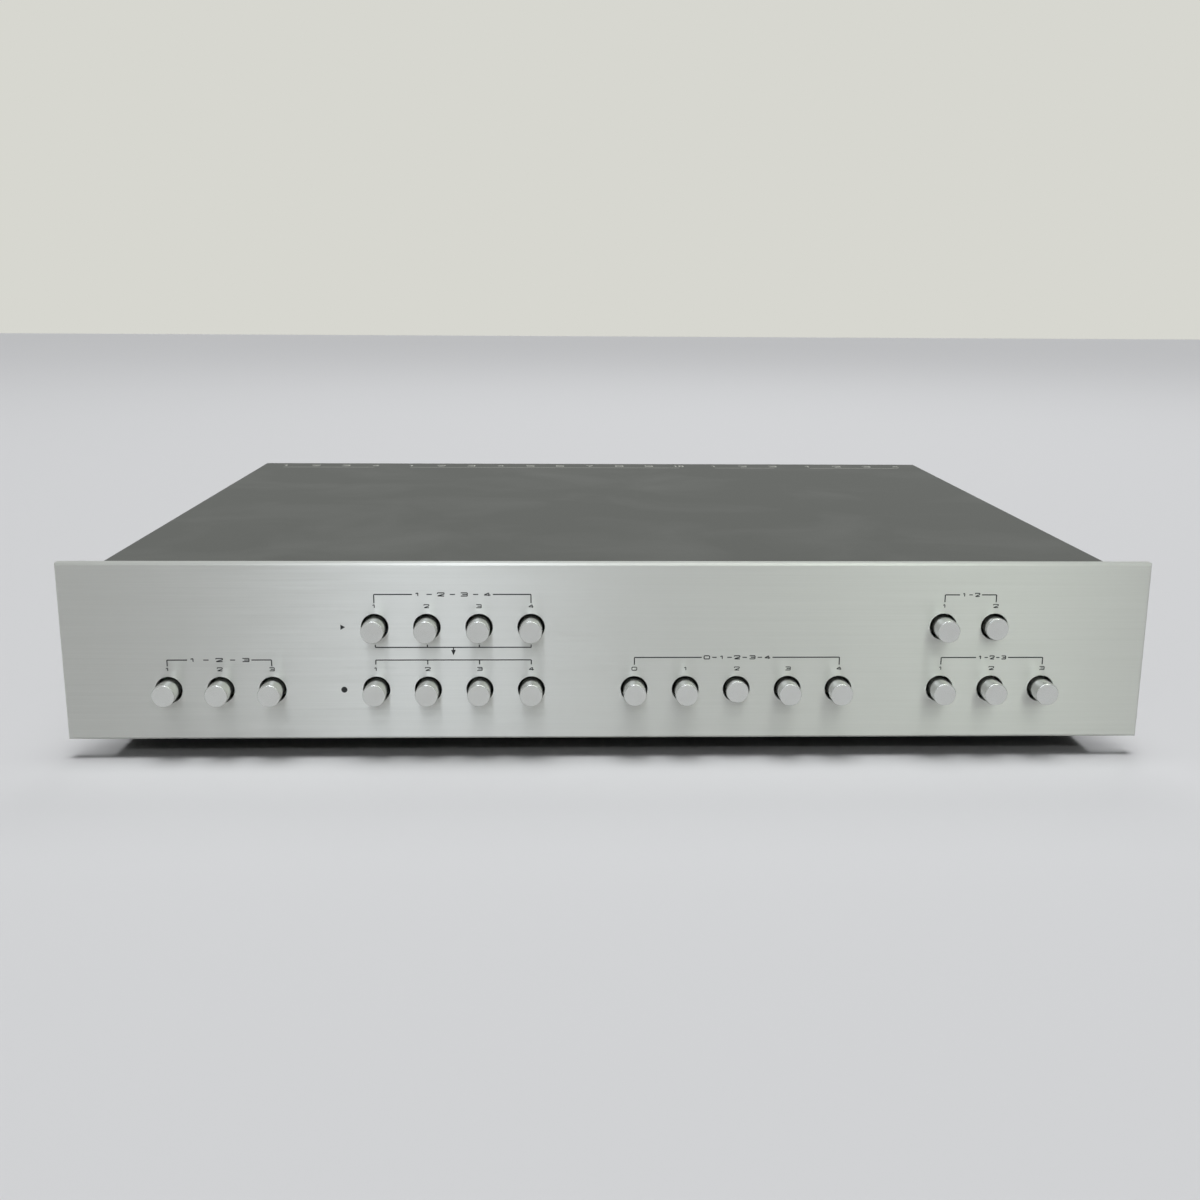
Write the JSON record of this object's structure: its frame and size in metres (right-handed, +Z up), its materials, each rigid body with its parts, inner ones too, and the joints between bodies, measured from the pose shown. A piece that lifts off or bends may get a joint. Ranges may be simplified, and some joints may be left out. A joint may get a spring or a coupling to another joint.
{
  "type": "audio source selector",
  "caption": "Full-width, low audio selector case with a brushed front panel, six groups of round push buttons, rows of phono connectors at the rear and rubber feet.",
  "frame": {"origin": "on the resting surface, under the middle of the overall width and depth", "axes": "+Z up, front panel facing -Y, +X to the right as seen from the front"},
  "size_m": [0.42, 0.3186, 0.078],
  "materials": {
    "brushed_panel": "brushed lengthways and clear anodised",
    "turned_cap": "turned and satin anodised",
    "cover_paint": "satin olive-grey paint",
    "rear_paint": "satin olive-grey paint",
    "zinc_steel": "zinc plated sheet",
    "plated_steel": "bright plated",
    "spring_steel": "drawn wire",
    "housing_plastic": "moulded",
    "plunger_plastic": "moulded",
    "board_laminate": "laminated board",
    "nickel_plate": "nickel plated",
    "nickel_brass": "turned, nickel plated",
    "insert_plastic": "moulded",
    "foot_rubber": "moulded",
    "cable_sheath": "extruded"
  },
  "bodies": {
    "case": {"front_panel": "brushed_panel", "top_cover": "cover_paint", "rear_panel": "rear_paint", "bottom_tray": "zinc_steel", "sub_panel": "zinc_steel", "switch_frames": "zinc_steel", "screws": "plated_steel", "return_springs": "spring_steel", "switch_housings": "housing_plastic", "switch_boards": "board_laminate", "jack_boards": "board_laminate", "jack_shells": "nickel_plate", "jack_inserts": "insert_plastic", "ground_terminals": "nickel_brass", "feet": "foot_rubber", "wiring_looms": "cable_sheath"},
    "monitor_latch": {"monitor_latch_bar": "plated_steel"},
    "input_latch": {"input_latch_bar": "plated_steel"},
    "amp_1": {"amp_button_1": "turned_cap", "amp_plunger_1": "plunger_plastic"},
    "amp_2": {"amp_button_2": "turned_cap", "amp_plunger_2": "plunger_plastic"},
    "amp_3": {"amp_button_3": "turned_cap", "amp_plunger_3": "plunger_plastic"},
    "play_1": {"play_button_1": "turned_cap", "play_plunger_1": "plunger_plastic"},
    "play_2": {"play_button_2": "turned_cap", "play_plunger_2": "plunger_plastic"},
    "play_3": {"play_button_3": "turned_cap", "play_plunger_3": "plunger_plastic"},
    "play_4": {"play_button_4": "turned_cap", "play_plunger_4": "plunger_plastic"},
    "record_1": {"record_button_1": "turned_cap", "record_plunger_1": "plunger_plastic"},
    "record_2": {"record_button_2": "turned_cap", "record_plunger_2": "plunger_plastic"},
    "record_3": {"record_button_3": "turned_cap", "record_plunger_3": "plunger_plastic"},
    "record_4": {"record_button_4": "turned_cap", "record_plunger_4": "plunger_plastic"},
    "monitor_1": {"monitor_button_1": "turned_cap", "monitor_plunger_1": "plunger_plastic"},
    "monitor_2": {"monitor_button_2": "turned_cap", "monitor_plunger_2": "plunger_plastic"},
    "monitor_3": {"monitor_button_3": "turned_cap", "monitor_plunger_3": "plunger_plastic"},
    "monitor_4": {"monitor_button_4": "turned_cap", "monitor_plunger_4": "plunger_plastic"},
    "monitor_5": {"monitor_button_5": "turned_cap", "monitor_plunger_5": "plunger_plastic"},
    "line_1": {"line_button_1": "turned_cap", "line_plunger_1": "plunger_plastic"},
    "line_2": {"line_button_2": "turned_cap", "line_plunger_2": "plunger_plastic"},
    "phono_1": {"phono_button_1": "turned_cap", "phono_plunger_1": "plunger_plastic"},
    "phono_2": {"phono_button_2": "turned_cap", "phono_plunger_2": "plunger_plastic"},
    "phono_3": {"phono_button_3": "turned_cap", "phono_plunger_3": "plunger_plastic"}
  },
  "joints": [
    {"name": "amp_1_press", "type": "slide", "parent": "case", "child": "amp_1", "axis": [0, 1, 0], "range_m": [0, 0.0048], "stiffness_N_per_m": 250, "springref_m": -0.004, "deforming": ["return_springs"]},
    {"name": "amp_2_press", "type": "slide", "parent": "case", "child": "amp_2", "axis": [0, 1, 0], "range_m": [0, 0.0048], "stiffness_N_per_m": 250, "springref_m": -0.004, "deforming": ["return_springs"]},
    {"name": "amp_3_press", "type": "slide", "parent": "case", "child": "amp_3", "axis": [0, 1, 0], "range_m": [0, 0.0048], "stiffness_N_per_m": 250, "springref_m": -0.004, "deforming": ["return_springs"]},
    {"name": "play_1_press", "type": "slide", "parent": "case", "child": "play_1", "axis": [0, 1, 0], "range_m": [0, 0.0048], "stiffness_N_per_m": 250, "springref_m": -0.004, "deforming": ["return_springs"]},
    {"name": "play_2_press", "type": "slide", "parent": "case", "child": "play_2", "axis": [0, 1, 0], "range_m": [0, 0.0048], "stiffness_N_per_m": 250, "springref_m": -0.004, "deforming": ["return_springs"]},
    {"name": "play_3_press", "type": "slide", "parent": "case", "child": "play_3", "axis": [0, 1, 0], "range_m": [0, 0.0048], "stiffness_N_per_m": 250, "springref_m": -0.004, "deforming": ["return_springs"]},
    {"name": "play_4_press", "type": "slide", "parent": "case", "child": "play_4", "axis": [0, 1, 0], "range_m": [0, 0.0048], "stiffness_N_per_m": 250, "springref_m": -0.004, "deforming": ["return_springs"]},
    {"name": "record_1_press", "type": "slide", "parent": "case", "child": "record_1", "axis": [0, 1, 0], "range_m": [0, 0.0048], "stiffness_N_per_m": 250, "springref_m": -0.004, "deforming": ["return_springs"]},
    {"name": "record_2_press", "type": "slide", "parent": "case", "child": "record_2", "axis": [0, 1, 0], "range_m": [0, 0.0048], "stiffness_N_per_m": 250, "springref_m": -0.004, "deforming": ["return_springs"]},
    {"name": "record_3_press", "type": "slide", "parent": "case", "child": "record_3", "axis": [0, 1, 0], "range_m": [0, 0.0048], "stiffness_N_per_m": 250, "springref_m": -0.004, "deforming": ["return_springs"]},
    {"name": "record_4_press", "type": "slide", "parent": "case", "child": "record_4", "axis": [0, 1, 0], "range_m": [0, 0.0048], "stiffness_N_per_m": 250, "springref_m": -0.004, "deforming": ["return_springs"]},
    {"name": "monitor_1_press", "type": "slide", "parent": "case", "child": "monitor_1", "axis": [0, 1, 0], "range_m": [0, 0.0048], "stiffness_N_per_m": 250, "springref_m": -0.004, "deforming": ["return_springs"]},
    {"name": "monitor_2_press", "type": "slide", "parent": "case", "child": "monitor_2", "axis": [0, 1, 0], "range_m": [0, 0.0048], "stiffness_N_per_m": 250, "springref_m": -0.004, "deforming": ["return_springs"]},
    {"name": "monitor_3_press", "type": "slide", "parent": "case", "child": "monitor_3", "axis": [0, 1, 0], "range_m": [-0.004, 0.0008], "deforming": ["return_springs"]},
    {"name": "monitor_4_press", "type": "slide", "parent": "case", "child": "monitor_4", "axis": [0, 1, 0], "range_m": [0, 0.0048], "stiffness_N_per_m": 250, "springref_m": -0.004, "deforming": ["return_springs"]},
    {"name": "monitor_5_press", "type": "slide", "parent": "case", "child": "monitor_5", "axis": [0, 1, 0], "range_m": [0, 0.0048], "stiffness_N_per_m": 250, "springref_m": -0.004, "deforming": ["return_springs"]},
    {"name": "line_1_press", "type": "slide", "parent": "case", "child": "line_1", "axis": [0, 1, 0], "range_m": [0, 0.0048], "stiffness_N_per_m": 250, "springref_m": -0.004, "deforming": ["return_springs"]},
    {"name": "line_2_press", "type": "slide", "parent": "case", "child": "line_2", "axis": [0, 1, 0], "range_m": [-0.004, 0.0008], "deforming": ["return_springs"]},
    {"name": "phono_1_press", "type": "slide", "parent": "case", "child": "phono_1", "axis": [0, 1, 0], "range_m": [0, 0.0048], "stiffness_N_per_m": 250, "springref_m": -0.004, "deforming": ["return_springs"]},
    {"name": "phono_2_press", "type": "slide", "parent": "case", "child": "phono_2", "axis": [0, 1, 0], "range_m": [0, 0.0048], "stiffness_N_per_m": 250, "springref_m": -0.004, "deforming": ["return_springs"]},
    {"name": "phono_3_press", "type": "slide", "parent": "case", "child": "phono_3", "axis": [0, 1, 0], "range_m": [0, 0.0048], "stiffness_N_per_m": 250, "springref_m": -0.004, "deforming": ["return_springs"]},
    {"name": "monitor_latch_slide", "type": "slide", "parent": "case", "child": "monitor_latch", "axis": [1, 0, 0], "range_m": [0, 0.0016], "stiffness_N_per_m": 200, "springref_m": -0.002},
    {"name": "input_latch_slide", "type": "slide", "parent": "case", "child": "input_latch", "axis": [1, 0, 0], "range_m": [0, 0.0016], "stiffness_N_per_m": 200, "springref_m": -0.002}
  ]
}
